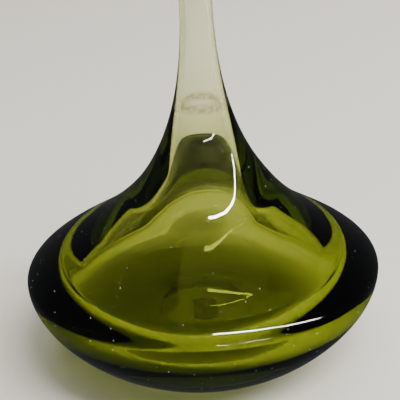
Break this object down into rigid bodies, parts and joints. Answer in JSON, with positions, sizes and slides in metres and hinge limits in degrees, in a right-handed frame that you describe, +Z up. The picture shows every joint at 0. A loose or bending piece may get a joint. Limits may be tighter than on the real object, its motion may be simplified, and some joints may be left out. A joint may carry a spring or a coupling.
{
  "type": "bud vase",
  "caption": "Single-stem glass vase: heavy squat bowl with a rounded underside, drawn up through a flaring shoulder into a long slim neck.",
  "frame": {"origin": "centre of the foot, on the surface the vase stands on", "axes": "+Z up through the middle of the bowl, towards the mouth; +X towards the side that the neck leans to, by 2.3 mm; +Y completes the frame"},
  "size_m": [0.12, 0.12, 0.19],
  "materials": {
    "olive_glass": "clear olive-green blown glass, fire-polished",
    "olive_glass_thin": "the same glass where it is thin, pale olive, fire-polished",
    "pontil_glass": "dark brown-green scar glass, uneven and half matt"
  },
  "bodies": {
    "root": {"lip": "olive_glass_thin", "neck": "olive_glass_thin", "bowl_casing": "olive_glass", "inner_bubble": "olive_glass", "pontil_button": "pontil_glass"}
  },
  "joints": []
}
